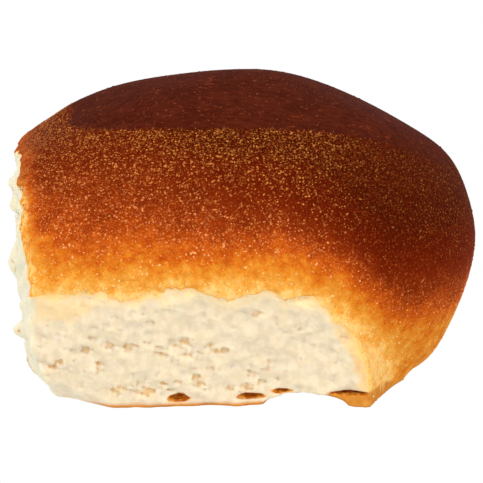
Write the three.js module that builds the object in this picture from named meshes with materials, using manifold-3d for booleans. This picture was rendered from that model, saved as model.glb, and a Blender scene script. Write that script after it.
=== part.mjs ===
// A soft batch-baked bread roll, the corner roll of its tray. Two sides are free and crusted.
// The front and the left side were pulled off the neighbouring rolls and show torn crumb.
// Millimetres, +Z up. X runs along the front, and +Y points to the back of the roll.

import * as THREE from 'three';
import { mergeVertices } from 'three/addons/utils/BufferGeometryUtils.js';
import Module from 'manifold-3d';

// The risen dome, measured from the upright axis through its crown.
const REACH_RIGHT = 50.6;
const REACH_LEFT = 61.3; // as baked, before the left side was torn off
const REACH_FRONT = 45;
const REACH_BACK = 46;
const WIDEST_Z = 26.4; // height at which the sides stand out furthest
const RISE = 34.6; // from there up to the crown
const TUCK = 46; // how far the lower half would run down if it were not cut by the tray
const HEEL = 7; // width of the rounding where the crusted sides turn under
const HEEL_Z = -0.8; // the level it rounds to, just under the tray
const PLAN_SQUARENESS = 2.44;
const CORNER_SQUARENESS = 3.2; // at the front left, where four rolls pressed together
const PROFILE_SQUARENESS = 1.81;
const UNEVENNESS = 0.35; // height of the slow waves over the whole crust

// The two tears, and how rough the crumb on them is. The left one turns a little with y.
const FRONT_TEAR = { y: -42, top: 25.4, relief: 1.1 };
const LEFT_TEAR = { x: -48.2, turn: 0.045, relief: 1.0 };
const TEAR_CELL = 2.1; // spacing of the points on a torn face

// The boxes of material that go with the neighbours and with the tray.
const NEIGHBOUR_DEPTH = 26;
const FRONT_NEIGHBOUR = { left: -65, right: 26.9, bottom: -6, crowding: 1.3 };
const LEFT_NEIGHBOUR = { length: 120, height: 80, bottom: -10 };
const TRAY = { width: 200, depth: 60 };

// The feet of dough that ran through each tear to the neighbour, low down on the roll. Each has
// its start and end along its tear, its top, the radius of the torn patch's round upper corner,
// how fast its crusted end widens into the roll, and its depth from the tear into the roll.
const FRONT_FOOT = { start: -62, end: 26.2, top: 25, cornerRadius: 21.5, flare: 0.4, depth: 15 };
const LEFT_FOOT = { start: -42.6, end: 31, top: 27, cornerRadius: 18, flare: -0.2, depth: 15 };
const FOOT_BOTTOM = -8; // under the tray
const FOOT_LIP = 0.7; // how far its edge stands out past the tear
const FOOT_SPLAY = 0.9; // how much further out it runs for each millimetre inside its outline
const FOOT_BLEND = 3.5;

// The lower front left corner of the crumb is rounded. Each tear has the height at which its
// rounding begins, and the stretch along the tear over which it comes in.
const FRONT_CORNER = { height: 9, from: 24, to: 46 };
const LEFT_CORNER = { height: 14.5, from: 14, to: 40 };
const CORNER_DEPTH_SHARE = 0.55; // how deep the rounding goes, as a share of its height
const CORNER_EDGE = { x: -48, depth: 0.8, radius: 5 }; // the upright edge between the two tears
const CORNER_BACK = { y: -45, depth: 2.5, radius: 9 }; // the left tear falls back behind that edge

// Just under the crust the front tear comes forward to meet it, and falls back over a short way.
const LIP_REACH = 2.2;
const LIP_FALL = 2.5;

// Broad swells of the front torn face: centre, height and radius.
const FRONT_SWELLS = [
  { x: 4, z: 12, height: -0.9, radius: 12 },
  { x: -20, z: 14, height: 0.8, radius: 14 },
];

// Torn shards, clumps and dents on the left side: centre, height above the face and radius.
const LEFT_CLUMPS = [
  { y: 5, z: 43, height: 0.6, radius: 5 },
  { y: -12, z: 40.5, height: 3, radius: 2.5 },
  { y: -15, z: 36, height: 2.6, radius: 1.9 },
  { y: -20, z: 25.8, height: 2.2, radius: 3.8 },
  { y: -29, z: 12.5, height: 3.2, radius: 2.5 },
  { y: 20, z: 22, height: 1.6, radius: 8 },
  { y: 30, z: 10, height: 1.2, radius: 6 },
  { y: 2, z: 14, height: -1.8, radius: 9 },
  { y: -33, z: 6, height: -2.6, radius: 7 },
  { y: -20, z: 6, height: -2.6, radius: 8 },
];

// Lobes of crust that hang over the front tear: centre, drop and half width.
const CRUST_LOBES = [
  { x: -4, drop: 1.8, width: 3.6 },
  { x: -24, drop: 1.1, width: 3 },
  { x: 9, drop: 0.8, width: 3.4 },
  { x: -38, drop: 1.6, width: 4.5 },
  { x: -13, drop: -0.9, width: 4 },
];

// Swellings and slack places of the dome: centre, height and radius.
const SWELLINGS = [
  { x: 46, y: 3, z: 43, height: 1.2, radius: 9 },
  { x: 26, y: 7, z: 56, height: -1.2, radius: 16 },
  { x: -28, y: 7, z: 55, height: 1.0, radius: 13 },
  { x: -46, y: 6, z: 48, height: -1.0, radius: 11 },
];

// Hollows cut out of the foot: centre and half axes.
const FRONT_ARCH = { at: [13, -45, 0], half: [9.5, 15, 2.7] };
const LIFTED_CORNER = { at: [-43, -47, 0], half: [13, 12, 1.9] };
const CRUST_POCKETS = [
  { at: [-13.9, -42.6, 1.9], half: [2.2, 4, 0.8] },
  { at: [0.4, -42.6, 1.9], half: [4.4, 5, 0.9] },
  { at: [22.4, -42.4, 3.0], half: [4.6, 5, 0.9] },
];

// Larger bubbles of the crumb, open to the front tear: centre and radius on the face.
const BUBBLES = [
  { x: -24.5, z: 13.4, radius: 1.5, stretch: 2.1 },
  { x: -5.6, z: 12.4, radius: 1.2, stretch: 1.6 },
  { x: 5.2, z: 8.5, radius: 1.1, stretch: 1.5 },
  { x: -36, z: 8.2, radius: 1.3, stretch: 1.6 },
  { x: -15.6, z: 7.4, radius: 1.2, stretch: 1.3 },
  { x: 14.8, z: 14.2, radius: 1.1, stretch: 1.7 },
  { x: -31, z: 19.4, radius: 1.0, stretch: 2 },
  { x: 19.2, z: 8.6, radius: 1.0, stretch: 1.4 },
];

const ROLL_DETAIL = 19; // splits of each icosahedron edge over the dome
const SMALL_DETAIL = 2; // the same over a hollow
const ROLL_COLOUR = 0x9c4a1c;
const ROLL_ROUGHNESS = 0.6;

const STAR_CENTRE = new THREE.Vector3(-4, -5, 15); // sees every point of the untorn roll
const LONGEST_RAY = 90;
const RAY_STEP = 1.5;
const RAY_HALVINGS = 14;

// Smallest of two distances, with the crease between them filled by a fillet.
function blended(a, b, width) {
  const overlap = Math.max(width - Math.abs(a - b), 0) / width;
  return Math.min(a, b) - overlap * overlap * width * 0.25;
}

// Largest of two distances, with the edge between them rounded off.
function rounded(a, b, width) {
  return -blended(-a, -b, width);
}

// A smooth hill of height 1 at distance 0.
function hill(distance, radius) {
  return Math.exp(-((distance / radius) ** 2));
}

// Distance outside the risen dome, negative inside.
function domeDistance(x, y, z) {
  const alongX = Math.abs(x) / (x > 0 ? REACH_RIGHT : REACH_LEFT);
  const alongY = Math.abs(y) / (y > 0 ? REACH_BACK : REACH_FRONT);
  const squareness = x < 0 && y < 0 ? CORNER_SQUARENESS : PLAN_SQUARENESS;
  const plan = (alongX ** squareness + alongY ** squareness) ** (1 / squareness);
  const height = Math.abs(z - WIDEST_Z) / (z > WIDEST_Z ? RISE : TUCK);
  const size = (plan ** PROFILE_SQUARENESS + height ** PROFILE_SQUARENESS) ** (1 / PROFILE_SQUARENESS);
  return Math.hypot(x, y, z - WIDEST_Z) * (1 - 1 / Math.max(size, 1e-6));
}

// Distance outside the round-cornered outline of a foot, across its tear.
function footOutline(foot, along, inward, z) {
  const beyondEnd = along - foot.flare * Math.max(inward, 0) - (foot.end - foot.cornerRadius);
  const beyondTop = z - (foot.top - foot.cornerRadius);
  const corner = Math.hypot(Math.max(beyondEnd, 0), Math.max(beyondTop, 0));
  return corner + Math.min(Math.max(beyondEnd, beyondTop), 0) - foot.cornerRadius;
}

// Distance outside a foot, from the place along its tear, the depth into the roll and the height.
function footDistance(foot, along, inward, z) {
  const outline = footOutline(foot, along, inward, z);
  const outward = -inward - FOOT_LIP + FOOT_SPLAY * outline;
  return Math.max(outline, outward, inward - foot.depth, foot.start - along, FOOT_BOTTOM - z);
}

// Distance outside the whole untorn roll.
function rollDistance(x, y, z) {
  const dome = rounded(domeDistance(x, y, z), HEEL_Z - z, HEEL);
  const frontFoot = footDistance(FRONT_FOOT, x, y - FRONT_TEAR.y, z);
  const leftFoot = footDistance(LEFT_FOOT, y, x - LEFT_TEAR.x, z);
  let distance = blended(dome, Math.min(frontFoot, leftFoot), FOOT_BLEND);
  for (const swelling of SWELLINGS) {
    const away = Math.hypot(x - swelling.x, y - swelling.y, z - swelling.z);
    distance -= swelling.height * hill(away, swelling.radius);
  }
  return distance - UNEVENNESS * Math.sin(x * 0.11 + 0.6) * Math.sin(y * 0.13 + z * 0.09 + 1.1);
}

// How far from the star centre the surface lies along one direction.
function surfaceReach(direction) {
  const inside = (reach) => {
    const point = direction.clone().multiplyScalar(reach).add(STAR_CENTRE);
    return rollDistance(point.x, point.y, point.z) < 0;
  };
  let outer = LONGEST_RAY;
  while (outer > RAY_STEP && !inside(outer - RAY_STEP)) {
    outer -= RAY_STEP;
  }
  let inner = outer - RAY_STEP;
  for (let halving = 0; halving < RAY_HALVINGS; halving += 1) {
    const middle = (inner + outer) / 2;
    if (inside(middle)) {
      inner = middle;
    } else {
      outer = middle;
    }
  }
  return (inner + outer) / 2;
}

// Moves each point of a geometry by a function that changes the point in place.
function reshape(geometry, change) {
  const positions = geometry.attributes.position;
  const point = new THREE.Vector3();
  for (let index = 0; index < positions.count; index += 1) {
    point.fromBufferAttribute(positions, index);
    change(point);
    positions.setXYZ(index, point.x, point.y, point.z);
  }
  return geometry;
}

// The roll as it was baked, before it was pulled off: a ball grown out to the surface.
function untornRoll() {
  return reshape(new THREE.IcosahedronGeometry(1, ROLL_DETAIL), (point) => {
    const direction = point.clone().normalize();
    point.copy(direction).multiplyScalar(surfaceReach(direction)).add(STAR_CENTRE);
  });
}

// Uneven crumb on a torn face, from -1 to 1, drawn out along the first coordinate.
function crumbRelief(along, up) {
  const broad = Math.sin(along * 0.21 + 1.3 * Math.sin(up * 0.17)) * Math.sin(up * 0.26 + along * 0.05);
  const middle = Math.sin(along * 0.62 + up * 0.31) * Math.sin(up * 0.83 - along * 0.12 + 0.7);
  const fine = Math.sin(along * 1.07 - up * 0.57) * Math.sin(up * 1.21 + along * 0.33 + 2.1);
  return 0.5 * broad + 0.36 * middle + 0.14 * fine;
}

// How far the rounded bottom corner lies back from a tear, towards the corner and the base.
function roundedBack(corner, towardsCorner, z) {
  const share = THREE.MathUtils.smoothstep(towardsCorner, corner.from, corner.to);
  const below = THREE.MathUtils.clamp(1 - z / corner.height, 0, 1);
  return share * corner.height * CORNER_DEPTH_SHARE * below * below;
}

// Where the front torn face stands.
function frontTearY(x, z) {
  let y = FRONT_TEAR.y + roundedBack(FRONT_CORNER, -x, z);
  y += CORNER_EDGE.depth * hill(x - CORNER_EDGE.x, CORNER_EDGE.radius);
  for (const swell of FRONT_SWELLS) {
    y -= swell.height * hill(Math.hypot(x - swell.x, z - swell.z), swell.radius);
  }
  const inset = Math.max(edgeShift(x) - footOutline(FRONT_FOOT, x, 0, z), 0);
  y -= LIP_REACH * Math.exp(-inset / LIP_FALL);
  return y + FRONT_TEAR.relief * crumbRelief(x, z);
}

// How far outside the foot's outline the crust's ragged edge runs, where the front was torn.
function edgeShift(x) {
  let shift = FRONT_TEAR.top - FRONT_FOOT.top + 0.4 * Math.sin(x * 0.55) + 0.2 * Math.sin(x * 1.27 + 1);
  for (const lobe of CRUST_LOBES) {
    shift -= lobe.drop * hill(x - lobe.x, lobe.width);
  }
  return shift;
}

// The height of that edge, which curves down round the right end of the tear.
function frontTearTop(x) {
  const { end, top, cornerRadius } = FRONT_FOOT;
  const reach = cornerRadius + edgeShift(x);
  const beyond = Math.max(x - (end - cornerRadius), 0);
  return top - cornerRadius + Math.sqrt(Math.max(reach ** 2 - beyond ** 2, 0));
}

// Where the left torn face stands.
function leftTearX(y, z) {
  let x = LEFT_TEAR.x - LEFT_TEAR.turn * y + roundedBack(LEFT_CORNER, -y, z);
  x += CORNER_BACK.depth * hill(y - CORNER_BACK.y, CORNER_BACK.radius);
  for (const clump of LEFT_CLUMPS) {
    x -= clump.height * hill(Math.hypot(y - clump.y, z - clump.z), clump.radius);
  }
  return x + LEFT_TEAR.relief * crumbRelief(y, z);
}

// A block of material that goes with the neighbour in front. Its back is the torn face, and its
// top is the underside of the crust's lower edge. Its columns crowd towards the round right end.
function frontNeighbour() {
  const { left, right, bottom, crowding } = FRONT_NEIGHBOUR;
  const columns = Math.round((right - left) / TEAR_CELL);
  const rows = Math.round((FRONT_TEAR.top - bottom) / TEAR_CELL);
  const block = new THREE.BoxGeometry(1, NEIGHBOUR_DEPTH, 1, columns, 1, rows);
  return reshape(block, (point) => {
    const onTear = point.y > 0;
    point.x = right - (right - left) * (0.5 - point.x) ** crowding;
    point.z = THREE.MathUtils.lerp(bottom, frontTearTop(point.x), point.z + 0.5);
    point.y = onTear ? frontTearY(point.x, point.z) : FRONT_TEAR.y - NEIGHBOUR_DEPTH;
  });
}

// A box of material that goes with the neighbour on the left. Its right side is the torn face.
function leftNeighbour() {
  const { length, height, bottom } = LEFT_NEIGHBOUR;
  const columns = Math.round(length / TEAR_CELL);
  const rows = Math.round(height / TEAR_CELL);
  const block = new THREE.BoxGeometry(NEIGHBOUR_DEPTH, length, height, 1, columns, rows);
  return reshape(block, (point) => {
    const onTear = point.x > 0;
    point.z += height / 2 + bottom;
    point.x = onTear ? leftTearX(point.y, point.z) : LEFT_TEAR.x - NEIGHBOUR_DEPTH;
  });
}

// What the flat tray cuts off below the roll.
function tray() {
  const block = new THREE.BoxGeometry(TRAY.width, TRAY.width, TRAY.depth);
  block.translate(0, 0, -TRAY.depth / 2);
  return block;
}

// An ellipsoid to hollow out.
function hollow({ at, half }) {
  const ball = new THREE.IcosahedronGeometry(1, SMALL_DETAIL);
  ball.scale(...half);
  ball.translate(...at);
  return ball;
}

// A bubble of the crumb, cut open near its middle by the front tear.
function bubble({ x, z, radius, stretch }) {
  return hollow({ at: [x, frontTearY(x, z), z], half: [radius * stretch, radius, radius] });
}

const wasm = await Module();
wasm.setup();

// A closed solid from a geometry, joined at its shared points.
function solidOf(geometry) {
  const bare = geometry.clone();
  bare.deleteAttribute('normal');
  bare.deleteAttribute('uv');
  const merged = mergeVertices(bare, 1e-4);
  const vertProperties = new Float32Array(merged.attributes.position.array);
  const triVerts = new Uint32Array(merged.index.array);
  return new wasm.Manifold(new wasm.Mesh({ numProp: 3, vertProperties, triVerts }));
}

// The geometry of a solid, moved so that the middle of its base is the origin.
function geometryOf(solid) {
  const mesh = solid.getMesh();
  const geometry = new THREE.BufferGeometry();
  geometry.setAttribute('position', new THREE.BufferAttribute(mesh.vertProperties, 3));
  geometry.setIndex(new THREE.BufferAttribute(mesh.triVerts, 1));
  geometry.computeBoundingBox();
  const middle = geometry.boundingBox.getCenter(new THREE.Vector3());
  geometry.translate(-middle.x, -middle.y, -geometry.boundingBox.min.z);
  geometry.computeVertexNormals();
  return geometry;
}

// The roll with everything that was torn or hollowed out taken away.
function tornRoll() {
  const cuts = [tray(), frontNeighbour(), leftNeighbour(), hollow(FRONT_ARCH), hollow(LIFTED_CORNER)];
  cuts.push(...CRUST_POCKETS.map(hollow), ...BUBBLES.map(bubble));
  return cuts.reduce((roll, cut) => roll.subtract(solidOf(cut)), solidOf(untornRoll()));
}

const crust = new THREE.MeshStandardMaterial({
  color: ROLL_COLOUR,
  roughness: ROLL_ROUGHNESS,
  metalness: 0,
});
const roll = new THREE.Mesh(geometryOf(tornRoll()), crust);
roll.name = 'roll';

const breadRoll = new THREE.Group();
breadRoll.add(roll);

export default breadRoll;
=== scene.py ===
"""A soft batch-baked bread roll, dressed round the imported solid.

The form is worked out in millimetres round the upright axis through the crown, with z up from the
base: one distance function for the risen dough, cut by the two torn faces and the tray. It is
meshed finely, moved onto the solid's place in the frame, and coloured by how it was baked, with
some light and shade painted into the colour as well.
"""

import math

import bpy
import numpy as np
from mathutils import Matrix, Vector


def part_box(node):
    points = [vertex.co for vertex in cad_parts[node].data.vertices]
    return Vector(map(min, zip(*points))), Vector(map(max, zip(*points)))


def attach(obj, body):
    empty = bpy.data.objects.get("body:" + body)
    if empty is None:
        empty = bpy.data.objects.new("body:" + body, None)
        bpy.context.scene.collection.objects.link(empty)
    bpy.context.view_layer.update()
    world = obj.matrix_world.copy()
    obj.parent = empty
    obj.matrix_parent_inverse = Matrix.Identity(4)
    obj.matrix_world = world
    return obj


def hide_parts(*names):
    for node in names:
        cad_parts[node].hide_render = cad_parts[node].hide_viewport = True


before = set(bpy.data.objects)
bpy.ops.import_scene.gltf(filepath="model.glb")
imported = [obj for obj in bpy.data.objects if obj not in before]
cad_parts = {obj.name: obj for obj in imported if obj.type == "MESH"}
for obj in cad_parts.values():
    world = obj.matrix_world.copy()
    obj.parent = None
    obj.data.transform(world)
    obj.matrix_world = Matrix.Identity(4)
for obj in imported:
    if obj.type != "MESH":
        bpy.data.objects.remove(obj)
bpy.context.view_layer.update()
MM = 0.001
SEED = 11

# The risen dome, as in the solid: how far it reaches from its axis, and how it rises and tucks in.
REACH_RIGHT = 50.6
REACH_LEFT = 61.3
REACH_FRONT = 45.0
REACH_BACK = 46.0
WIDEST_Z = 26.4
RISE = 34.6
TUCK = 46.0
HEEL = 7.0
HEEL_Z = -0.8
PLAN_SQUARENESS = 2.44
CORNER_SQUARENESS = 3.2
PROFILE_SQUARENESS = 1.81
UNEVENNESS = 0.35

# Swellings and slack places of the dome. The last two are not in the solid.
SWELLINGS = (  # x, y, z, height, radius
    (46, 3, 43, 1.2, 9),
    (26, 7, 56, -1.2, 16),
    (-28, 7, 55, 1.0, 13),
    (-46, 6, 48, -1.0, 11),
    (-38, 4, 51, 0.9, 6),
    (36, -18, 2, 1.1, 11),
)

# The two tears and the feet of dough that ran through them.
FRONT_Y = -42.0
FRONT_TOP = 25.4
FRONT_RELIEF = 1.1
LEFT_X = -48.2
LEFT_TURN = 0.045
LEFT_RELIEF = 1.0
FRONT_FOOT = dict(start=-62, end=26.2, top=25, corner=21.5, flare=0.4, depth=15)
LEFT_FOOT = dict(start=-42.6, end=31, top=27, corner=18, flare=-0.2, depth=15)
FOOT_BOTTOM = -8
FOOT_LIP = 0.7
FOOT_SPLAY = 0.9
FOOT_BLEND = 3.5
FRONT_CORNER = (9, 24, 46)  # height of the rounding, and the stretch over which it comes in
LEFT_CORNER = (14.5, 14, 40)
CORNER_DEPTH_SHARE = 0.55
CORNER_EDGE = (-48, 0.8, 5)  # x, depth, radius
LIP_REACH = 2.2  # the front tear comes forward to meet the crust
LIP_FALL = 2.5
FRONT_SWELLS = ((4, 12, -0.9, 12), (-20, 14, 0.8, 14))  # x, z, height, radius

# Torn shards, clumps and dents on the left. Those at (6, 0) and (-38, 2) are not in the solid.
LEFT_CLUMPS = (  # y, z, height, radius
    (5, 43, 0.6, 5),
    (-12, 40.5, 3, 2.5),
    (-15, 36, 2.6, 1.9),
    (-20, 25.8, 2.2, 3.8),
    (-29, 12.5, 3.2, 2.5),
    (20, 22, 1.6, 8),
    (30, 10, 1.2, 6),
    (2, 14, -1.8, 9),
    (6, 0, -1.8, 10),
    (-38, 2, 2.4, 4.5),
    (-33, 6, -2.6, 7),
    (-20, 6, -2.6, 8),
)
CORNER_BACK = (-45, 2.5, 9)  # y, depth, radius: the left tear falls back behind the front corner

# Where crust hangs over the front tear, or draws back from it, as it does most at the left end.
# Instead of those at -41 and -30, the solid has one that hangs down 1.6 mm at -38.
CRUST_LOBES = (  # x, drop, half width
    (-4, 1.8, 3.6),
    (-24, 1.1, 3),
    (9, 0.8, 3.4),
    (-41, -1.9, 6),
    (-30, 0.6, 3),
    (-13, -0.9, 4),
)

# Hollows at the bottom of the front tear: centre and half axes. The arch and the slots are lined
# with crust. The arch and the slots at 1.1 and 21.4 are a little smaller than in the solid, which
# has no slot at 7.4.
FRONT_ARCH = ((12.3, -45, 0), (8.8, 15, 2.7))
LIFTED_CORNER = ((-43, -47, 0), (13, 12, 1.9))
CRUST_SLOTS = (
    ((-13.9, -42.6, 1.9), (2.2, 4, 0.8)),
    ((1.1, -42.6, 2.0), (2.8, 5, 0.6)),
    ((7.4, -42.8, 3.1), (2.2, 4, 0.5)),
    ((21.4, -42.4, 3.0), (3.6, 5, 0.42)),
)

# Where the front crumb has more and deeper pits: x, z, spread along each, and how many.
PIT_PATCHES = (
    (-21.5, 12.8, 6, 1.1, 26),
    (-24, 3.9, 4, 0.6, 16),
    (-2, 5.5, 4.5, 1.6, 14),
    (-17, 6, 3, 1.5, 8),
    (-39, 11, 3, 2.5, 6),
    (2.5, 20.4, 0.6, 0.5, 3),
    (10.7, 16.6, 0.7, 0.7, 3),
    (-5.4, 12.4, 1, 1, 4),
)

# The other bubbles that the tears cut open: how many, where they lie along and up the face, the
# mean and the spread of the logarithm of their radius in mm, and how far their middles lie behind
# the face, in radii. Below 0 a middle lies in front of it, so that only a shallow dish is cut.
FRONT_BUBBLES = dict(
    count=360, along=(-47, 27), up=(1.2, 24.5), log_radius=(-0.7, 0.3), behind=(-0.85, -0.4)
)
LEFT_BUBBLES = dict(
    count=800, along=(-41, 36), up=(1.2, 50), log_radius=(-0.6, 0.35), behind=(-0.8, -0.2)
)
PIT_RADIUS = (0.45, 0.95)
PIT_BEHIND = (-0.35, 0.1)
BUBBLE_STRETCH = (1.0, 1.9)  # along the face, in radii
BUBBLE_HEIGHT = (0.7, 1.0)
BUBBLE_EDGE = 0.3  # rounding of a bubble's rim

# How the crust browned, in mm up the browning ramp. The neighbour in front shaded the crust above
# the tear as it baked, and the crust browned faster at the left corner. Over the shoulder and to the
# right it is darker, partly browner and partly painted shade, and towards the left the upper crust is
# less dark, partly paler and partly painted light. The free sides browned from near the tray up.
SHADE_BACK_Y = -32.0  # behind this the shade ends
SHADE_END_SLOPE = 1.2
SHOULDER_SPAN = (8, 16)
SHOULDER_X = -6.0  # the shoulder is darker to the right of this, partly painted shade
SHOULDER_GAIN = 0.011
RIGHT_X = 8.0
RIGHT_GAIN = 0.014
CORNER_SPAN = (-23, -34)  # x over which the left corner comes in
CORNER_GAIN = 2.4
CORNER_EDGE_LOSS = 2.2
CORNER_EDGE_HEIGHT = 2.2
END_X = 28.0  # the right end is a little browner than the back
END_SLOPE = 0.12
FREE_LEAST = 5.0
FREE_START_Z = 13.5
FREE_SLOPE = 0.95
FREE_START_WIDTH = 3.0
FREE_UPPER_Z = 27.0
FREE_UPPER_SLOPE = 0.6
FREE_LEFT_SLOPE = 2.0  # how fast the right end's browning gives way to the front's
FREE_FRONT_Y = -20.0
BROWNING_BLEND = 5.0
LEFT_X_OF_FADE = -42.0
LEFT_FADE = 0.025  # towards the left the upper crust is less dark, partly painted light: how much less at that x
LEFT_FADE_SLOPE = 0.0007  # how fast the fade falls to the right
LEFT_FADE_MOST = 0.022
MOST_BROWN = 40.0

# The thin crust that the tray made, and the flap of it that curls up beside the arch.
TRAY_CRUST_HEIGHTS = (1.3, 0.5)  # none above the first, and whole below the second
FLAP_HEIGHT = 2.2
FLAP_START = (13, 18)
FLAP_END = (33, 28)
LIFT_SPAN = (-38, -26)  # x over which it thins away towards the lifted corner
LIFT_BACK_Y = -30.0
BOTTOM_SKIN_SCALE = 4.0  # how many times thinner it is than the baked skin
BOTTOM_SKIN_START = 0.2

# How far behind the torn faces a point counts as lying, in mm.
FAR_BEHIND = 9.0  # where there is no front tear
MOST_PIT_DEPTH = 6.0  # at most

# The dark cap of the crust, seen from above: its middle, how far it reaches from there, and how
# square its outline is.
CAP_X = 4.5
CAP_LEFT = 41.5
CAP_RIGHT = 41.0
CAP_FRONT = 23.5
CAP_BACK = 27.0
CAP_BACK_SQUARENESS = 2.5
CAP_LEFT_SQUARENESS = 3.5
CAP_RIGHT_SQUARENESS = 2.0
CAP_RANGE = 20.0  # the depth within the cap is kept within this

# The blisters of the crust.
BLISTERS = 16_000
BLISTER_RADIUS = 0.17
BLISTER_SPREAD = 0.32  # of the logarithm of the radius
BLISTER_RADII = (0.09, 0.36)
BLISTER_STRETCH = 0.35
MOST_STRETCH = 2.4
BLISTER_RISE = (0.3, 0.5)  # in radii
BLISTER_SIDES = 6
BLISTER_WAVER = (0.8, 1.2)  # each corner's distance from the middle, in radii
RIM_DEPTH = 0.03
KEEL_DEPTH = 0.08  # below the rim
TEAR_MARGIN = 0.6  # no blister lies nearer to a tear

# The sampled block of space, and how finely it is sampled.
GRID_LOW = np.array((-54.0, -47.5, -1.5))
GRID_HIGH = np.array((52.5, 48.0, 63.0))
CELL = 0.45
TORN_EDGE = 0.5  # rounding of a torn edge
MOST_TRIANGLES = 190_000
LEAST_STEEPNESS = 0.05  # keeps the steps towards the surface short where the field is flat
UNTORN = 1e-3  # where the two distances differ by less, the surface is the untorn crust


def blended(a, b, width):
    """The smaller of two distances, with the crease between them filled by a fillet."""
    overlap = np.maximum(width - np.abs(a - b), 0) / width
    return np.minimum(a, b) - overlap * overlap * (width / 4)


def rounded(a, b, width):
    """The larger of two distances, with the edge between them rounded off."""
    return -blended(-a, -b, width)


def hill(distance, radius):
    """A smooth hill of height 1 at distance 0."""
    return np.exp(-((distance / radius) ** 2))


def smooth(low, high, value):
    """0 below low, 1 above high, and a smooth step between them."""
    share = np.clip((value - low) / (high - low), 0, 1)
    return share * share * (3 - 2 * share)


def length(*parts):
    """The length of a vector given by its parts."""
    return np.sqrt(sum(part * part for part in parts))


class Noise:
    """Smooth noise from -1 to 1 on a seeded lattice, in two dimensions."""

    SIZE = 128

    def __init__(self, seed):
        self.table = np.random.default_rng(seed).uniform(-1, 1, (self.SIZE, self.SIZE)).astype(np.float32)

    def __call__(self, u, v):
        u, v = np.broadcast_arrays(u, v)
        low_u, low_v = np.floor(u).astype(int), np.floor(v).astype(int)
        share_u, share_v = u - low_u, v - low_v
        share_u = share_u * share_u * (3 - 2 * share_u)
        share_v = share_v * share_v * (3 - 2 * share_v)
        near = self.at(low_u, low_v) * (1 - share_u) + self.at(low_u + 1, low_v) * share_u
        far = self.at(low_u, low_v + 1) * (1 - share_u) + self.at(low_u + 1, low_v + 1) * share_u
        return near * (1 - share_v) + far * share_v

    def at(self, u, v):
        """The lattice's value at whole numbers."""
        return self.table[u % self.SIZE, v % self.SIZE]


TEAR_NOISE = Noise(SEED)
EDGE_NOISE = Noise(SEED + 1)


def dome_distance(x, y, z):
    """Distance outside the risen dome."""
    along_x = np.abs(x) / np.where(x > 0, REACH_RIGHT, REACH_LEFT)
    along_y = np.abs(y) / np.where(y > 0, REACH_BACK, REACH_FRONT)
    squareness = np.where((x < 0) & (y < 0), CORNER_SQUARENESS, PLAN_SQUARENESS)
    plan = (along_x**squareness + along_y**squareness) ** (1 / squareness)
    height = np.abs(z - WIDEST_Z) / np.where(z > WIDEST_Z, RISE, TUCK)
    size = (plan**PROFILE_SQUARENESS + height**PROFILE_SQUARENESS) ** (1 / PROFILE_SQUARENESS)
    return length(x, y, z - WIDEST_Z) * (1 - 1 / np.maximum(size, 1e-6))


def foot_outline(foot, along, inward, z):
    """Distance outside the round-cornered outline of a torn patch, in the plane of the tear."""
    beyond_end = along - foot["flare"] * np.maximum(inward, 0) - (foot["end"] - foot["corner"])
    beyond_top = z - (foot["top"] - foot["corner"])
    corner = length(np.maximum(beyond_end, 0), np.maximum(beyond_top, 0))
    return corner + np.minimum(np.maximum(beyond_end, beyond_top), 0) - foot["corner"]


def foot_distance(foot, along, inward, z):
    """Distance outside a foot of dough."""
    outline = foot_outline(foot, along, inward, z)
    outward = -inward - FOOT_LIP + FOOT_SPLAY * outline
    ends = np.maximum(inward - foot["depth"], foot["start"] - along)
    return np.maximum(np.maximum(outline, outward), np.maximum(ends, FOOT_BOTTOM - z))


def untorn_distance(x, y, z):
    """Distance outside the roll as it was baked."""
    dome = rounded(dome_distance(x, y, z), HEEL_Z - z, HEEL)
    front = foot_distance(FRONT_FOOT, x, y - FRONT_Y, z)
    left = foot_distance(LEFT_FOOT, y, x - LEFT_X, z)
    distance = blended(dome, np.minimum(front, left), FOOT_BLEND)
    for at_x, at_y, at_z, height, radius in SWELLINGS:
        distance = distance - height * hill(length(x - at_x, y - at_y, z - at_z), radius)
    return distance - UNEVENNESS * np.sin(x * 0.11 + 0.6) * np.sin(y * 0.13 + z * 0.09 + 1.1)


def crumb_relief(along, up):
    """The uneven crumb on a torn face, as in the solid, from -1 to 1."""
    broad = np.sin(along * 0.21 + 1.3 * np.sin(up * 0.17)) * np.sin(up * 0.26 + along * 0.05)
    middle = np.sin(along * 0.62 + up * 0.31) * np.sin(up * 0.83 - along * 0.12 + 0.7)
    fine = np.sin(along * 1.07 - up * 0.57) * np.sin(up * 1.21 + along * 0.33 + 2.1)
    return 0.5 * broad + 0.36 * middle + 0.14 * fine


def crumb_detail(along, up):
    """Finer torn crumb than the solid holds: strands along the tear and small tufts, in mm."""
    strands = 0.12 * TEAR_NOISE(along / 5.5, up / 1.3 + 40)
    tufts = 0.12 * TEAR_NOISE(along / 2.1 + 20, up / 1.9) + 0.08 * TEAR_NOISE(along / 0.95, up / 0.85 + 70)
    return strands + tufts


def rounded_back(corner, towards_corner, z):
    """How far the rounded bottom corner lies back from a tear."""
    height, start, end = corner
    below = np.clip(1 - z / height, 0, 1)
    return smooth(start, end, towards_corner) * height * CORNER_DEPTH_SHARE * below * below


def front_tear_y(x, z):
    """Where the front torn face stands."""
    edge_x, depth, radius = CORNER_EDGE
    y = FRONT_Y + rounded_back(FRONT_CORNER, -x, z) + depth * hill(x - edge_x, radius)
    for at_x, at_z, height, swell_radius in FRONT_SWELLS:
        y = y - height * hill(length(x - at_x, z - at_z), swell_radius)
    y = y - LIP_REACH * np.exp(np.minimum(front_tear_outline(x, z), 0) / LIP_FALL)
    return y + FRONT_RELIEF * crumb_relief(x, z) + crumb_detail(x, z)


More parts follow.
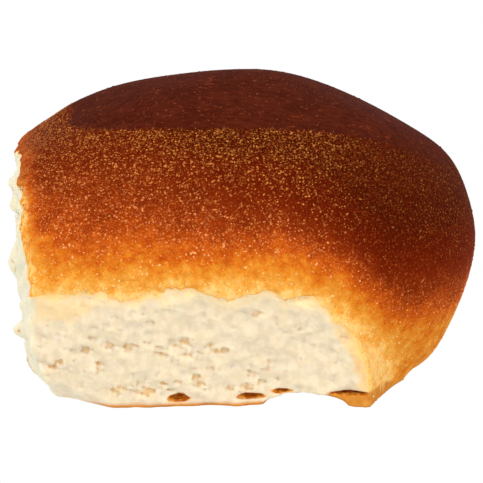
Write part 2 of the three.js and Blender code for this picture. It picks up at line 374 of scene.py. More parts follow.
def front_tear_outline(x, z):
    """Distance outside the front tear's outline, in the plane of the tear: below 0 on the crumb."""
    top = FRONT_TOP - FRONT_FOOT["top"] + 0.4 * np.sin(x * 0.55) + 0.2 * np.sin(x * 1.27 + 1)
    for at_x, drop, width in CRUST_LOBES:
        top = top - drop * hill(x - at_x, width)
    ragged = 0.7 * EDGE_NOISE(x / 2.3, z / 2.2) + 0.5 * EDGE_NOISE(x / 0.8 + 9, z / 0.9)
    return foot_outline(FRONT_FOOT, x, 0, z) - top - ragged


def left_tear_x(y, z):
    """Where the left torn face stands."""
    back_y, depth, back_radius = CORNER_BACK
    x = LEFT_X - LEFT_TURN * y + rounded_back(LEFT_CORNER, -y, z) + depth * hill(y - back_y, back_radius)
    for at_y, at_z, height, radius in LEFT_CLUMPS:
        x = x - height * hill(length(y - at_y, z - at_z), radius)
    return x + LEFT_RELIEF * crumb_relief(y, z) + 1.2 * crumb_detail(y + 200, z)


def hollow_distance(x, y, z, centre, half):
    """Distance outside an ellipsoid."""
    scaled = length(*((value - at) / size for value, at, size in zip((x, y, z), centre, half)))
    return (scaled - 1) * min(half)


def torn_distance(x, y, z):
    """Distance outside the roll as it lies: torn, hollowed and flat below."""
    front = np.maximum(y - front_tear_y(x, z), front_tear_outline(x, z))
    body = np.maximum(untorn_distance(x, y, z), -z)
    body = rounded(body, -front, TORN_EDGE)
    body = rounded(body, left_tear_x(y, z) - x, TORN_EDGE)
    for centre, half in (FRONT_ARCH, LIFTED_CORNER, *CRUST_SLOTS):
        body = rounded(body, -hollow_distance(x, y, z, centre, half), TORN_EDGE)
    return body


def scattered_bubbles(rng, kind):
    """Where the bubbles of a torn face lie along, up and behind it, and their radii."""
    count = kind["count"]
    along = rng.uniform(*kind["along"], count)
    up = rng.uniform(*kind["up"], count)
    radius = np.exp(rng.normal(*kind["log_radius"], count))
    behind = rng.uniform(*kind["behind"], count)
    return along, up, behind, radius


def front_bubbles(rng):
    """Centres and half axes of the bubbles that the front tear cut open: shallow, and some pits."""
    x, z, behind, radius = scattered_bubbles(rng, FRONT_BUBBLES)
    for at_x, at_z, wide, high, number in PIT_PATCHES:
        x = np.append(x, rng.normal(at_x, wide, number))
        z = np.append(z, rng.normal(at_z, high, number))
        radius = np.append(radius, rng.uniform(*PIT_RADIUS, number))
        behind = np.append(behind, rng.uniform(*PIT_BEHIND, number))
    y = front_tear_y(x, z) + radius * behind
    stretch = rng.uniform(*BUBBLE_STRETCH, len(x))
    height = rng.uniform(*BUBBLE_HEIGHT, len(x))
    return np.stack([x, y, z], axis=1), np.stack([radius * stretch, radius, radius * height], axis=1)


def left_bubbles(rng):
    """Centres and half axes of the bubbles that the left tear cut open."""
    y, z, behind, radius = scattered_bubbles(rng, LEFT_BUBBLES)
    x = left_tear_x(y, z) + radius * behind
    stretch = rng.uniform(*BUBBLE_STRETCH, len(y))
    height = rng.uniform(*BUBBLE_HEIGHT, len(y))
    return np.stack([x, y, z], axis=1), np.stack([radius, radius * stretch, radius * height], axis=1)


def stamp_bubbles(field, axes, centres, halves):
    """Hollows each bubble out of the sampled field."""
    for centre, half in zip(centres, halves):
        reach = half + 2 * CELL
        spans = []
        for axis in range(3):
            first = int((centre[axis] - reach[axis] - GRID_LOW[axis]) / CELL)
            last = int((centre[axis] + reach[axis] - GRID_LOW[axis]) / CELL) + 2
            spans.append(slice(max(first, 0), max(min(last, len(axes[axis])), 0)))
        block = field[tuple(spans)]
        if block.size == 0:
            continue
        x = axes[0][spans[0]][:, None, None]
        y = axes[1][spans[1]][None, :, None]
        z = axes[2][spans[2]][None, None, :]
        wander = 0.22 * np.sin(3.3 * x + 2.1 * z) * np.sin(2.9 * z - 1.7 * x + 0.4)
        wander = wander + 0.1 * np.sin(5.9 * x + 6.3 * z)
        block[...] = rounded(block, -hollow_distance(x, y, z, centre, half) - wander, BUBBLE_EDGE)


def surface_net(field):
    """Points and quads of the surface on which a sampled field is zero."""
    inside = field < 0
    shape = np.array(field.shape) - 1
    corners = [(i, j, k) for i in (0, 1) for j in (0, 1) for k in (0, 1)]
    count = np.zeros(shape, np.uint8)
    for i, j, k in corners:
        count += inside[i : i + shape[0], j : j + shape[1], k : k + shape[2]]
    mixed = (count > 0) & (count < 8)
    number = np.full(shape, -1, np.int64)
    number[mixed] = np.arange(mixed.sum())
    cells = np.argwhere(mixed)
    total = np.zeros((len(cells), 3))
    hits = np.zeros(len(cells))
    for axis in range(3):
        step = np.eye(3, dtype=int)[axis]
        for corner in corners:
            if corner[axis]:
                continue
            start = cells + corner
            end = start + step
            first = field[start[:, 0], start[:, 1], start[:, 2]].astype(float)
            last = field[end[:, 0], end[:, 1], end[:, 2]].astype(float)
            crossing = (first < 0) != (last < 0)
            share = np.where(crossing, first / np.where(crossing, first - last, 1), 0)
            total += np.where(crossing[:, None], np.array(corner) + share[:, None] * step, 0)
            hits += crossing
    points = GRID_LOW + (cells + total / hits[:, None]) * CELL

    quads = []
    for axis in range(3):
        side_u, side_v = np.eye(3, dtype=int)[[(axis + 1) % 3, (axis + 2) % 3]]
        before = np.take(inside, range(field.shape[axis] - 1), axis)
        after = np.take(inside, range(1, field.shape[axis]), axis)
        for leaving in (True, False):
            edges = np.argwhere((before & ~after) if leaving else (~before & after))
            around = [edges - side_u - side_v, edges - side_v, edges, edges - side_u]
            quad = np.stack([number[tuple(cell.T)] for cell in around], axis=1)
            quads.append(quad if leaving else quad[:, ::-1])
    return points, np.concatenate(quads)


def onto_crust(points):
    """The places on the untorn crust that lie straight below some points close to it."""
    moved = points.copy()
    for _ in range(2):
        distance = untorn_distance(*moved.T)
        slope = field_slope(untorn_distance, moved)
        steepness = np.maximum((slope**2).sum(axis=1), LEAST_STEEPNESS)
        moved -= (distance / steepness)[:, None] * slope
    return moved


def snap_to_crust(points):
    """Moves the points of the untorn crust exactly onto it, so that it shades smoothly."""
    moved = onto_crust(points)
    baked = torn_distance(*points.T) - untorn_distance(*points.T) < UNTORN
    near = length(*(moved - points).T) < 0.5 * CELL
    return np.where((baked & near)[:, None], moved, points)


def field_slope(function, points, step=0.05):
    """The gradient of a distance function at some points."""
    slopes = []
    for axis in range(3):
        shift = np.eye(3)[axis] * step
        slopes.append((function(*(points + shift).T) - function(*(points - shift).T)) / (2 * step))
    return np.stack(slopes, axis=1)


def mesh_object(name, points, faces):
    """A mesh object in the scene, from points in metres."""
    mesh = bpy.data.meshes.new(name)
    mesh.from_pydata(points, [], faces)
    mesh.update()
    made = bpy.data.objects.new(name, mesh)
    bpy.context.collection.objects.link(made)
    return made


def points_of(thing):
    """The object's points, in millimetres."""
    flat = np.empty(len(thing.data.vertices) * 3, np.float32)
    thing.data.vertices.foreach_get("co", flat)
    return flat.reshape(-1, 3).astype(float) / MM


def thin_out(thing):
    """Merges the triangles where the surface is smooth until few enough are left."""
    triangles = sum(len(face.vertices) - 2 for face in thing.data.polygons)
    modifier = thing.modifiers.new("thin", "DECIMATE")
    modifier.ratio = min(1.0, MOST_TRIANGLES / triangles)
    evaluated = thing.evaluated_get(bpy.context.evaluated_depsgraph_get())
    thinned = bpy.data.meshes.new_from_object(evaluated)
    thing.modifiers.clear()
    old = thing.data
    thing.data = thinned
    bpy.data.meshes.remove(old)
    thinned.name = thing.name


def build_roll():
    """The whole roll, still round the dome's own axis."""
    axes = [np.arange(low, high, CELL, dtype=np.float32) for low, high in zip(GRID_LOW, GRID_HIGH)]
    field = torn_distance(axes[0][:, None, None], axes[1][None, :, None], axes[2][None, None, :])
    field = np.ascontiguousarray(field, dtype=np.float32)
    rng = np.random.default_rng(SEED)
    stamp_bubbles(field, axes, *front_bubbles(rng))
    stamp_bubbles(field, axes, *left_bubbles(rng))
    for side in (field, np.moveaxis(field, 1, 0), np.moveaxis(field, 2, 0)):
        side[[0, -1]] = CELL  # the block's border is outside, so that the surface closes
    points, quads = surface_net(field)
    points = snap_to_crust(points)
    points[:, 2] = np.maximum(points[:, 2], 0)
    roll = mesh_object("bread_roll", points * MM, quads)
    thin_out(roll)
    roll.data.shade_smooth()
    return roll


def srgb(red, green, blue):
    """A linear colour from the 0 to 255 values that a screen shows."""
    shares = (value / 255 for value in (red, green, blue))
    linear = (share / 12.92 if share <= 0.04045 else ((share + 0.055) / 1.055) ** 2.4 for share in shares)
    return (*linear, 1.0)


def set_attribute(thing, name, values):
    """Stores one number for each point of a mesh, for its material."""
    attribute = thing.data.attributes.new(name, "FLOAT", "POINT")
    attribute.data.foreach_set("value", np.ascontiguousarray(values, dtype=np.float32))


def skin_depth(x, y, z):
    """How deep a point lies below the baked skin or the bottom crust, in mm."""
    return np.minimum(-untorn_distance(x, y, z), BOTTOM_SKIN_SCALE * z + BOTTOM_SKIN_START)


def pit_depth(x, y, z):
    """How far a point lies behind the face of the tear, in mm."""
    on_front = front_tear_outline(x, z) < TORN_EDGE
    behind_front = np.where(on_front, y - front_tear_y(x, z), FAR_BEHIND)
    behind_left = x - left_tear_x(y, z)
    return np.clip(np.minimum(behind_front, behind_left), 0, MOST_PIT_DEPTH)


def shaded_browning(x, y, z):
    """How brown the crust is above the front tear, where the neighbour shaded it as it baked.
    Its darkening over the shoulder and to the right is partly painted shade.
    """
    above = foot_outline(FRONT_FOOT, x, y - FRONT_Y, z) + SHADE_END_SLOPE * np.maximum(y - SHADE_BACK_Y, 0)
    # Darker over the shoulder and to the right: partly browner crust, partly painted shade.
    shoulder = smooth(*SHOULDER_SPAN, above) * SHOULDER_GAIN * np.maximum(x - SHOULDER_X, 0)
    above = above * (1 + shoulder) * (1 + RIGHT_GAIN * np.maximum(x - RIGHT_X, 0))
    sharper = CORNER_GAIN - CORNER_EDGE_LOSS * np.exp(-np.maximum(above, 0) / CORNER_EDGE_HEIGHT)
    return above + sharper * smooth(*CORNER_SPAN, x)


def free_browning(x, z):
    """How brown the crust is on the sides that stood free."""
    level = z + END_SLOPE * np.maximum(x - END_X, 0)
    risen = rounded(level - FREE_START_Z, 0.0, FREE_START_WIDTH)
    return FREE_LEAST + FREE_SLOPE * risen + FREE_UPPER_SLOPE * np.maximum(level - FREE_UPPER_Z, 0)


def browning(x, y, z):
    """How far up the browning ramp the crust has come, in mm above its palest edge.
    Its rise to the right and fall to the left are partly painted shade and light.
    """
    free = free_browning(x, z)
    brown = blended(shaded_browning(x, y, z), free + FREE_LEFT_SLOPE * np.maximum(-x, 0), BROWNING_BLEND)
    brown = np.where(y > FREE_FRONT_Y, blended(brown, free, BROWNING_BLEND), brown)
    # Less dark towards the left: partly paler crust, partly painted light.
    fade = np.clip(LEFT_FADE - LEFT_FADE_SLOPE * (x - LEFT_X_OF_FADE), 0, LEFT_FADE_MOST)
    return np.clip(brown / (1 + brown * fade), 0, MOST_BROWN)


def cap_depth(x, y, z):
    """How far inside the dark cap's border a point lies, seen from above, in mm."""
    left = x < CAP_X
    along = np.abs(x - CAP_X) / np.where(left, CAP_LEFT, CAP_RIGHT)
    deep = np.abs(y) / np.where(y > 0, CAP_BACK, CAP_FRONT)
    front_squareness = np.where(left, CAP_LEFT_SQUARENESS, CAP_RIGHT_SQUARENESS)
    squareness = np.where(y > 0, CAP_BACK_SQUARENESS, front_squareness)
    reach = (along**squareness + deep**squareness) ** (1 / squareness)
    depth = np.clip((1 - reach) * CAP_FRONT, -CAP_RANGE, CAP_RANGE)
    return np.where(z > WIDEST_Z, depth, -CAP_RANGE)


def bottom_crust(x, y, z):
    """1 on the thin crust that the tray made, also where it curls up into a flap, and 0 above it."""
    flap = FLAP_HEIGHT * smooth(*FLAP_START, x) * smooth(*FLAP_END, x)
    flat = smooth(*LIFT_SPAN, x + np.maximum(y - LIFT_BACK_Y, 0))
    return smooth(*TRAY_CRUST_HEIGHTS, z - flap) * flat


def dress_roll(roll):
    """Stores what the crust's material needs to know at each point."""
    x, y, z = points_of(roll).T
    lined = (FRONT_ARCH, *CRUST_SLOTS)
    hollow = np.min([hollow_distance(x, y, z, centre, half) for centre, half in lined], axis=0)
    values = {
        "hollow": np.clip(hollow, -1, 4),
        "below": np.clip(-front_tear_outline(x, z), -9, 12),
        "left": np.clip(x - left_tear_x(y, z), -1, 9),
        "bottom": bottom_crust(x, y, z),
        "depth": np.clip(skin_depth(x, y, z), -1, 8),
        "pit": pit_depth(x, y, z),
        "brown": browning(x, y, z),
        "cap": cap_depth(x, y, z),
        "across": x,
    }
    for name, value in values.items():
        set_attribute(roll, name, value)


def blisters_wanted(x, y, z):
    """How thick the blisters lie: most under the cap's border, and fewer high on the right."""
    cap = cap_depth(x, y, z)
    browned = smooth(2, 12, browning(x, y, z))
    by_cap = 0.45 + 0.55 * smooth(-18, -2, cap)
    off_cap = 1 - 0.9 * smooth(-0.8, 0.6, cap)
    to_left = 1 - 0.8 * smooth(5, 36, x) * smooth(14, 28, z)
    return (0.10 + 0.9 * browned * by_cap) * off_cap * to_left


def scattered_on_crust(roll, rng, count):
    """Places for the blisters on the crust, and the direction straight out at each."""
    roll.data.calc_loop_triangles()
    corners = np.empty(len(roll.data.loop_triangles) * 3, np.int32)
    roll.data.loop_triangles.foreach_get("vertices", corners)
    corners = points_of(roll)[corners.reshape(-1, 3)]
    area = length(*np.cross(corners[:, 1] - corners[:, 0], corners[:, 2] - corners[:, 0]).T) / 2
    x, y, z = corners.mean(axis=1).T
    on_crust = (skin_depth(x, y, z) < 0.25) & (z > 1.5)
    weight = area * np.where(on_crust, blisters_wanted(x, y, z), 0)
    chosen = rng.choice(len(corners), count, p=weight / weight.sum())
    shares = rng.dirichlet((1, 1, 1), count)
    points = onto_crust((corners[chosen] * shares[:, :, None]).sum(axis=1))
    slope = field_slope(untorn_distance, points)
    return points, slope / length(*slope.T)[:, None]


def clear_of_tears(x, y, z):
    """Whether a point keeps its distance from both torn faces."""
    off_left = x > left_tear_x(y, z) + TEAR_MARGIN
    off_front = (front_tear_outline(x, z) > TEAR_MARGIN) | (y > front_tear_y(x, z) + TEAR_MARGIN)
    return off_left & off_front


def directions_beside(normals, turn):
    """Two directions along the surface for each normal, turned by an angle about it."""
    helper = np.where(np.abs(normals[:, :1]) < 0.7, np.array((1.0, 0, 0)), np.array((0, 1.0, 0)))
    across = np.cross(normals, helper)
    across /= length(*across.T)[:, None]
    other = np.cross(normals, across)
    along = across * np.cos(turn)[:, None] + other * np.sin(turn)[:, None]
    return along, np.cross(normals, along)


def build_blisters(roll):
    """The small blisters of the crust: low closed bumps with six sides, a top and a keel."""
    rng = np.random.default_rng(SEED + 5)
    points, normals = scattered_on_crust(roll, rng, BLISTERS)
    clear = clear_of_tears(*points.T)
    points, normals = points[clear], normals[clear]
    count = len(points)
    along, beside = directions_beside(normals, rng.uniform(0, math.pi, count))
    radius = np.clip(np.exp(rng.normal(math.log(BLISTER_RADIUS), BLISTER_SPREAD, count)), *BLISTER_RADII)
    stretch = (1 + rng.exponential(BLISTER_STRETCH, count)).clip(1, MOST_STRETCH)
    rise = radius * rng.uniform(*BLISTER_RISE, count)
    rim = []
    for step in range(BLISTER_SIDES):
        angle = step * math.tau / BLISTER_SIDES
        reach = radius * rng.uniform(*BLISTER_WAVER, count)
        offset = along * (reach * stretch * math.cos(angle))[:, None]
        offset = offset + beside * (reach * math.sin(angle))[:, None]
        rim.append(points + offset - normals * RIM_DEPTH)
    top = points + normals * rise[:, None]
    keel = points - normals * (RIM_DEPTH + KEEL_DEPTH)
    corners = np.stack([*rim, top, keel], axis=1)
    faces = []
    for step in range(BLISTER_SIDES):
        following = (step + 1) % BLISTER_SIDES
        faces += [(step, following, BLISTER_SIDES), (following, step, BLISTER_SIDES + 1)]
    each = corners.shape[1]
    faces = (np.arange(count)[:, None, None] * each + np.array(faces)).reshape(-1, 3)
    blisters = mesh_object("crust_blisters", corners.reshape(-1, 3) * MM, faces)
    blisters.data.shade_smooth()
    values = {
        "brown": browning(*points.T),
        "cap": cap_depth(*points.T),
        "tone": rng.uniform(0, 1, count),
        "across": points[:, 0],
    }
    for name, value in values.items():
        set_attribute(blisters, name, np.repeat(value, each))
    return blisters


# Finishes. Every colour below is given as a screen shows it.
SHEEN = 0.012  # a low specular level keeps the dark browns deep
RAMP_SPAN = 36.0  # mm up the browning at the far end of the colour ramps


class Graph:
    """Builds the nodes of a material, one call for each."""

    def __init__(self, name):
        self.material = bpy.data.materials.new(name)
        self.material.use_nodes = True
        self.tree = self.material.node_tree
        self.shader = self.tree.nodes["Principled BSDF"]
        place = self.node("ShaderNodeTexCoord").outputs["Object"]
        self.place = self.vector("DIVIDE", place, (MM, MM, MM))

    def node(self, kind, **settings):
        made = self.tree.nodes.new(kind)
        for name, value in settings.items():
            setattr(made, name, value)
        return made

    def put(self, value, socket):
        """Links another node's output to the socket, or gives it a plain value."""
        if isinstance(value, bpy.types.NodeSocket):
            self.tree.links.new(value, socket)
        else:
            socket.default_value = value

    def vector(self, operation, value, other):
        made = self.node("ShaderNodeVectorMath", operation=operation)
        self.put(value, made.inputs[0])
        self.put(other, made.inputs[1])
        return made.outputs[0]

    def math(self, operation, first, second=0.0):
        made = self.node("ShaderNodeMath", operation=operation)
        self.put(first, made.inputs[0])
        self.put(second, made.inputs[1])
        return made.outputs[0]

    def plus(self, first, second):
        return self.math("ADD", first, second)

    def times(self, first, second):
        return self.math("MULTIPLY", first, second)

    def step(self, value, low, high, to_low=0.0, to_high=1.0):
        """A smooth step from to_low to to_high as value goes from low to high."""
        made = self.node("ShaderNodeMapRange", interpolation_type="SMOOTHSTEP")
        for socket, given in zip(made.inputs, (value, low, high, to_low, to_high)):
            self.put(given, socket)
        return made.outputs[0]

    def mix(self, share, first, second):
        """The first colour at share 0, and the second at share 1."""
        made = self.node("ShaderNodeMix", data_type="RGBA")
        self.put(share, made.inputs[0])
        self.put(first, made.inputs[6])
        self.put(second, made.inputs[7])
        return made.outputs[2]

    def tint(self, share, colour, tint):
        """The colour with a share of a screen colour mixed in."""
        return self.mix(share, colour, srgb(*tint))

    def between(self, share, tints):
        """A mix of two screen colours."""
        return self.mix(share, srgb(*tints[0]), srgb(*tints[1]))

    def shade(self, value, low, high, darkest, brightest, colour):
        """The colour made darker or brighter as value goes from low to high."""
        grey = self.node("ShaderNodeCombineColor")
        level = self.step(value, low, high, darkest, brightest)
        for socket in grey.inputs:
            self.put(level, socket)
        made = self.node("ShaderNodeMix", data_type="RGBA", blend_type="MULTIPLY")
        self.put(1.0, made.inputs[0])
        self.put(colour, made.inputs[6])
        self.put(grey.outputs[0], made.inputs[7])
        return made.outputs[2]

    def ramp(self, value, stops):
        """A colour from stops of (place, colour), with places from 0 to the ramp's span."""
        made = self.node("ShaderNodeValToRGB")
        elements = made.color_ramp.elements
        while len(elements) > 1:
            elements.remove(elements[0])
        for number, (at, colour) in enumerate(stops):
            element = elements[0] if number == 0 else elements.new(at / RAMP_SPAN)
            element.position = at / RAMP_SPAN
            element.color = srgb(*colour)
        self.put(self.math("DIVIDE", value, RAMP_SPAN), made.inputs[0])
        return made.outputs[0]

    def attribute(self, name):
        """A number that set_attribute stored at each point."""
        return self.node("ShaderNodeAttribute", attribute_name=name).outputs["Fac"]

    def noise(self, wavelength, detail=2.0, stretch=(1, 1, 1)):
        """Noise from 0 to 1, mostly near 0.5, with its main wavelength in mm."""
        made = self.node("ShaderNodeTexNoise")
        self.put(self.vector("DIVIDE", self.place, stretch), made.inputs["Vector"])
        made.inputs["Scale"].default_value = 1 / wavelength
        made.inputs["Detail"].default_value = detail
        return made.outputs[0]

    def swing(self, amplitude, wavelength, detail=2.0):
        """Noise about zero, mostly within the amplitude."""
        centred = self.math("SUBTRACT", self.noise(wavelength, detail), 0.5)
        return self.times(centred, 4 * amplitude)

    def cells(self, size):
        """Distance in mm to the nearest of some scattered points, and a random colour for each."""
        made = self.node("ShaderNodeTexVoronoi")
        self.put(self.place, made.inputs["Vector"])
        made.inputs["Scale"].default_value = 1 / size
        return self.times(made.outputs["Distance"], size), made.outputs["Color"]

    def dots(self, size, wanted, strength):
        """Small round dots, one in each cell of that size whose random number is below wanted."""
        distance, colour = self.cells(size)
        parts = self.node("ShaderNodeSeparateColor")
        self.put(colour, parts.inputs[0])
        radius = self.times(self.plus(parts.outputs[1], 0.6), 0.26 * size)
        dot = self.step(distance, radius, self.times(radius, 0.55))
        kept = self.step(self.math("SUBTRACT", parts.outputs[0], wanted), 0.05, -0.05)
        varied = self.step(parts.outputs[2], 0.0, 1.0, 0.12, 1.0)
        return self.times(self.times(dot, kept), self.times(varied, strength))


BAKE = (  # mm above the palest edge, and the colour there between the specks
    (0, (232, 186, 110)),
    (1, (228, 168, 82)),
    (2.6, (218, 148, 56)),
    (5, (206, 124, 33)),
    (6.5, (198, 106, 23)),
    (8, (186, 86, 15)),
    (10, (166, 66, 10)),
    (13, (136, 46, 6)),
    (16, (114, 34, 4)),
    (20, (98, 24, 2)),
    (25, (84, 17, 1)),
    (34, (64, 13, 1)),
)
GOLD = (  # the size in mm of the cells that hold one gold speck each, and its colour
    (0.36, (142, 74, 20)),
    (0.48, (168, 98, 30)),
    (0.66, (196, 130, 54)),
)
BLISTER_BAKE_AND_GLINT = (  # mm above the palest edge, and a blister's colour there: partly its own paler colour, partly painted glint
    (0, (248, 218, 166)),
    (4, (246, 190, 116)),
    (8, (240, 164, 96)),
    (12, (224, 134, 78)),
    (18, (204, 120, 60)),
    (28, (184, 112, 50)),
)
BAKE_SWINGS = ((1.5, 5.0), (1.8, 1.8), (1.2, 0.7), (0.7, 0.35))  # mm up the ramp, and wavelength in mm
GRAIN = ((226, 136, 62), (146, 62, 20))  # on pale and on dark crust
CAP_BROWNS = ((64, 19, 7), (80, 28, 13))
CAP_FLECK = (150, 70, 34)
CAP_SMEAR = (146, 52, 14)
CAP_BLISTER = (116, 56, 34)
CAP_STREAKS = (2.6, 1.0, 1.0)  # how far the cap's marks are drawn out along the roll
CAP_FLECKS = (2.0, 1.0, 1.0)
CAP_SMEARS = (3.2, 1.0, 1.0)
PEELED_STRANDS = ((212, 134, 40), (234, 190, 108))
UPRIGHT = (1.0, 1.0, 4.0)
FRONT_CRUMB = ((215, 199, 170), (226, 211, 183))
SIDE_CRUMB = (219, 210, 182)
# A tan for painted shade in the crumb's pits.
PIT_PAINTED_SHADE = (218, 174, 108)
SKIN = ((230, 202, 152), (228, 186, 116))  # left and right
# Pale cream under the crust's lip: partly the membrane's colour, partly painted light against the lip's
# shade.
LIP_PAINTED_LIGHT = (250, 230, 188)
NEXT_TO_CRUST = (240, 196, 118)
TRAY_CRUST = ((172, 92, 24), (214, 148, 62))
HOLLOW_CRUST = ((178, 92, 12), (222, 156, 62))


def baked_colour(graph):
    """The crust's browning, uneven at every scale and paler by the left tear, with fine grain."""
    near_left = graph.plus(graph.attribute("left"), graph.swing(0.9, 3.5))
    brown = graph.times(graph.attribute("brown"), graph.step(near_left, 0.5, 6.2, 0.48, 1.0))
    for amplitude, wavelength in BAKE_SWINGS:
        brown = graph.plus(brown, graph.swing(amplitude, wavelength))
    colour = graph.ramp(brown, BAKE)
    colour = graph.shade(graph.noise(0.9, 3.0), 0.36, 0.64, 0.92, 1.07, colour)
    grain = graph.step(graph.noise(0.42, 2.0), 0.52, 0.68)
    grain = graph.times(grain, graph.step(graph.attribute("brown"), 5.0, 12.0, 0.12, 0.42))
    return graph.mix(grain, colour, graph.between(graph.step(brown, 10.0, 20.0), GRAIN))


def gold_specked(graph, colour):
    """The colour with gold specks, thickest just below the cap and dullest at the right."""
    wanted = graph.step(graph.attribute("cap"), -21.0, -1.0, 0.02, 0.95)
    wanted = graph.plus(wanted, graph.swing(0.25, 5.0))
    strength = graph.step(graph.attribute("across"), 6.0, 32.0, 1.0, 0.35)
    strength = graph.times(strength, graph.step(graph.attribute("brown"), 8.0, 12.0))
    for size, gold in GOLD:
        colour = graph.tint(graph.dots(size, wanted, strength), colour, gold)
    return colour


def dark_cap(graph):
    """The cap's colour: two dark browns in streaks along the roll, with rusty flecks and smears."""
    blotches = graph.plus(graph.noise(0.9, 3.0, CAP_STREAKS), graph.swing(0.16, 5.0, 3.0))
    colour = graph.between(graph.step(blotches, 0.3, 0.72), CAP_BROWNS)
    flecks = graph.step(graph.noise(0.5, 2.0, CAP_FLECKS), 0.63, 0.76)
    colour = graph.tint(graph.times(flecks, 0.6), colour, CAP_FLECK)
    smears = graph.step(graph.noise(1.5, 3.0, CAP_SMEARS), 0.66, 0.76)
    return graph.tint(graph.times(smears, 0.6), colour, CAP_SMEAR)


def browned_crust(graph):
    """The baked skin's colour: the browning and its gold specks, and the cap inside a ragged border."""
    ragged = graph.plus(graph.attribute("cap"), graph.swing(0.6, 3.0, 3.0))
    ragged = graph.plus(ragged, graph.swing(0.5, 0.8, 2.0))
    on_cap = graph.step(ragged, -0.35, 0.45)
    return graph.mix(on_cap, gold_specked(graph, baked_colour(graph)), dark_cap(graph))


def peeled_edge(graph, crust):
    """The crust along the left tear, where its top layer peeled off and left pale upright strands."""
    wander = graph.plus(graph.swing(1.0, 3.0, 3.0), graph.attribute("left"))
    peeled = graph.step(wander, 2.2, 0.7)
    strands = graph.between(graph.step(graph.noise(0.7, 3.0, UPRIGHT), 0.38, 0.62), PEELED_STRANDS)
    unburnt = graph.step(graph.attribute("brown"), 22.0, 12.0)
    return graph.mix(graph.times(peeled, graph.times(unburnt, 0.85)), crust, strands)


def crumb_skin(graph, colour):
    """The crumb's colour with the yellow skin under the crust, deepest at the front left corner,
    and a pale cream band just under the crust's lip: partly the membrane's colour, partly
    painted light that lifts the shade cast by the lip.
    """
    across = graph.attribute("across")
    below = graph.plus(graph.attribute("below"), graph.swing(0.9, 2.0, 3.0))
    reach = graph.step(across, -26.0, -38.0, 1.0, 7.0)
    reach = graph.plus(reach, graph.step(across, 14.0, 23.0, 0.0, 1.6))
    skin = graph.step(below, graph.plus(reach, 2.2), graph.math("SUBTRACT", reach, 0.5))
    front = graph.math("SUBTRACT", 1.0, side_share(graph))
    skin = graph.times(graph.times(skin, 0.8), front)
    colour = graph.mix(skin, colour, graph.between(graph.step(across, 14.0, 24.0), SKIN))
    # Painted light, partly the membrane's own cream: the crumb just under the lip is brightened against
    # the lip's shade.
    pale = graph.times(front, graph.step(across, 24.0, 14.0, 0.2, 0.6))
    return graph.tint(graph.times(graph.step(graph.attribute("below"), 5.0, 0.5), pale), colour, LIP_PAINTED_LIGHT)


def side_share(graph):
    """1 on the left torn face, and 0 away from it."""
    return graph.step(graph.attribute("left"), 1.6, 0.5)


def torn_crumb(graph):
    """The crumb's colour: cream, with painted tan shade deeper in its pits, and yellow under the crust."""
    colour = graph.between(graph.step(graph.noise(1.8, 3.0), 0.35, 0.68), FRONT_CRUMB)
    colour = graph.tint(side_share(graph), colour, SIDE_CRUMB)
    # Painted shade: the crumb turns tan the deeper it lies behind the torn face.
    pit = graph.step(graph.attribute("pit"), 0.25, 0.9)
    colour = graph.tint(graph.times(pit, 0.7), colour, PIT_PAINTED_SHADE)
    colour = crumb_skin(graph, colour)
    depth = graph.plus(graph.attribute("depth"), graph.swing(0.5, 1.5, 3.0))
    return graph.tint(graph.times(graph.step(depth, 1.7, 0.3), 0.75), colour, NEXT_TO_CRUST)


def crust_material():
    """The whole roll's finish: crumb where it is torn, baked skin elsewhere."""
    graph = Graph("crust")
    crust = peeled_edge(graph, browned_crust(graph))
    depth = graph.plus(graph.attribute("depth"), graph.swing(0.12, 0.8, 2.0))
    torn = graph.step(depth, 0.25, 0.6)
    colour = graph.mix(torn, crust, torn_crumb(graph))
    bottom = graph.attribute("bottom")
    colour = graph.mix(bottom, colour, graph.between(graph.noise(1.5, 3.0), TRAY_CRUST))
    hollow = graph.step(graph.attribute("hollow"), 0.2, 0.0)
    inside = graph.between(graph.step(graph.noise(1.2, 2.0), 0.4, 0.6), HOLLOW_CRUST)
    colour = graph.mix(hollow, colour, inside)
    moist = graph.times(torn, graph.math("SUBTRACT", 1.0, hollow))
    moist = graph.times(moist, graph.math("SUBTRACT", 1.0, bottom))
    graph.put(colour, graph.shader.inputs["Base Color"])
    graph.put(graph.plus(graph.times(torn, 0.2), 0.75), graph.shader.inputs["Roughness"])
    graph.put(graph.times(moist, 0.8), graph.shader.inputs["Subsurface Weight"])
    graph.shader.inputs["Subsurface Radius"].default_value = (1.0, 0.7, 0.4)
    graph.shader.inputs["Subsurface Scale"].default_value = 2.5 * MM
    graph.shader.inputs["Specular IOR Level"].default_value = SHEEN
    bump = graph.node("ShaderNodeBump")
    bump.inputs["Strength"].default_value = 0.5
    bump.inputs["Distance"].default_value = 0.12 * MM
    graph.put(graph.plus(graph.noise(0.6, 3.0), graph.noise(1.6, 2.0)), bump.inputs["Height"])
    graph.put(bump.outputs[0], graph.shader.inputs["Normal"])
    return graph.material


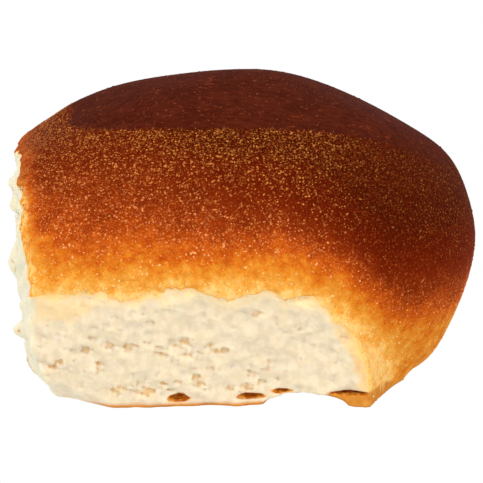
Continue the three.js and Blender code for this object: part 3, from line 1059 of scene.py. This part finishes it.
def blister_material():
    """Blisters: a shade paler and pinker than the crust they stand on, partly their own colour and
    partly painted glints, and duller at the right, where the painted glints are shaded off.
    """
    graph = Graph("blister")
    brown = graph.attribute("brown")
    crust = graph.ramp(brown, BAKE)
    dull = graph.step(graph.attribute("tone"), 0.0, 1.0, 0.7, 0.0)
    # Paler than the crust: partly the blisters' own colour, partly painted glints.
    colour = graph.mix(dull, graph.ramp(brown, BLISTER_BAKE_AND_GLINT), crust)
    # Painted shade: towards the right the painted glints give way to the crust's own colour.
    shaded = graph.step(graph.attribute("across"), 8.0, 34.0, 0.0, 0.6)
    shaded = graph.times(shaded, graph.step(brown, 9.0, 18.0))
    colour = graph.mix(shaded, colour, crust)
    on_cap = graph.step(graph.attribute("cap"), -0.3, 0.3)
    graph.put(graph.tint(on_cap, colour, CAP_BLISTER), graph.shader.inputs["Base Color"])
    graph.shader.inputs["Roughness"].default_value = 0.6
    graph.shader.inputs["Specular IOR Level"].default_value = SHEEN
    return graph.material


def finish_piece(thing, material, shift):
    thing.data.transform(Matrix.Translation(shift))
    thing.data.materials.append(material)
    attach(thing, "root")


# The stage, in metres.
FLOOR_REACH = 3.0
FLOOR_DROP = 0.02 * MM  # below the base, so that the two never share a plane
KEY_LIGHT = dict(place=(-0.2, -0.7, 0.7), aim=(0, 0, 0.03), size=0.6, power=4.3)
FILL_LIGHT = dict(place=(0.65, -0.45, 0.15), aim=(0.02, 0, 0.02), size=0.5, power=1.2)
CAMERA_AZIMUTH = math.radians(-1.1)
CAMERA_ELEVATION = math.radians(16.0)
CAMERA_DISTANCE = 0.6
CAMERA_TARGET = (0.0001, 0, 0.0234)
CAMERA_LENS = 204.1  # mm, over a sensor 36 mm wide
CAMERA_SENSOR = 36


def build_floor():
    """A plain white floor, as bright as its surroundings, as under a cut-out photograph."""
    reach = FLOOR_REACH
    corners = [(-reach, -reach, 0), (reach, -reach, 0), (reach, reach, 0), (-reach, reach, 0)]
    floor = mesh_object("floor", corners, [(0, 1, 2, 3)])
    floor.location.z = -FLOOR_DROP
    graph = Graph("floor")
    graph.shader.inputs["Base Color"].default_value = (0, 0, 0, 1)
    graph.shader.inputs["Specular IOR Level"].default_value = 0.0
    graph.shader.inputs["Emission Color"].default_value = (1, 1, 1, 1)
    graph.shader.inputs["Emission Strength"].default_value = 1.0
    floor.data.materials.append(graph.material)


def add_area(name, place, aim, size, power):
    """A soft square light aimed at a point."""
    data = bpy.data.lights.new(name, "AREA")
    data.size = size
    data.energy = power
    light = bpy.data.objects.new(name, data)
    light.location = place
    light.rotation_euler = (Vector(aim) - Vector(place)).to_track_quat("-Z", "Y").to_euler()
    bpy.context.collection.objects.link(light)


def build_lights():
    """White surroundings, a large soft light from above the front and a weak one from the right."""
    world = bpy.data.worlds.new("studio")
    world.use_nodes = True
    background = world.node_tree.nodes["Background"]
    background.inputs["Color"].default_value = (1, 1, 1, 1)
    background.inputs["Strength"].default_value = 1.0
    bpy.context.scene.world = world
    bpy.context.scene.view_settings.view_transform = "Standard"
    add_area("key", **KEY_LIGHT)
    add_area("fill", **FILL_LIGHT)


def build_camera():
    """The photograph's viewpoint, found by fitting the solid's outline."""
    level = math.cos(CAMERA_ELEVATION)
    away = Vector(
        (
            math.sin(CAMERA_AZIMUTH) * level,
            -math.cos(CAMERA_AZIMUTH) * level,
            math.sin(CAMERA_ELEVATION),
        )
    )
    data = bpy.data.cameras.new("camera")
    data.sensor_width = CAMERA_SENSOR
    data.lens = CAMERA_LENS
    data.clip_start = 0.01
    camera = bpy.data.objects.new("camera", data)
    camera.location = Vector(CAMERA_TARGET) + away * CAMERA_DISTANCE
    camera.rotation_euler = (-away).to_track_quat("-Z", "Y").to_euler()
    bpy.context.collection.objects.link(camera)
    bpy.context.scene.camera = camera


def shift_to_frame(roll):
    """From the dome's own axis to the solid's place: the untorn right and back sides meet."""
    points = points_of(roll)
    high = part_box("roll")[1]
    return Vector((high[0] - points[:, 0].max() * MM, high[1] - points[:, 1].max() * MM, 0))


roll = build_roll()
dress_roll(roll)
blisters = build_blisters(roll)
shift = shift_to_frame(roll)
finish_piece(roll, crust_material(), shift)
finish_piece(blisters, blister_material(), shift)
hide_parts("roll")
build_floor()
build_lights()
build_camera()
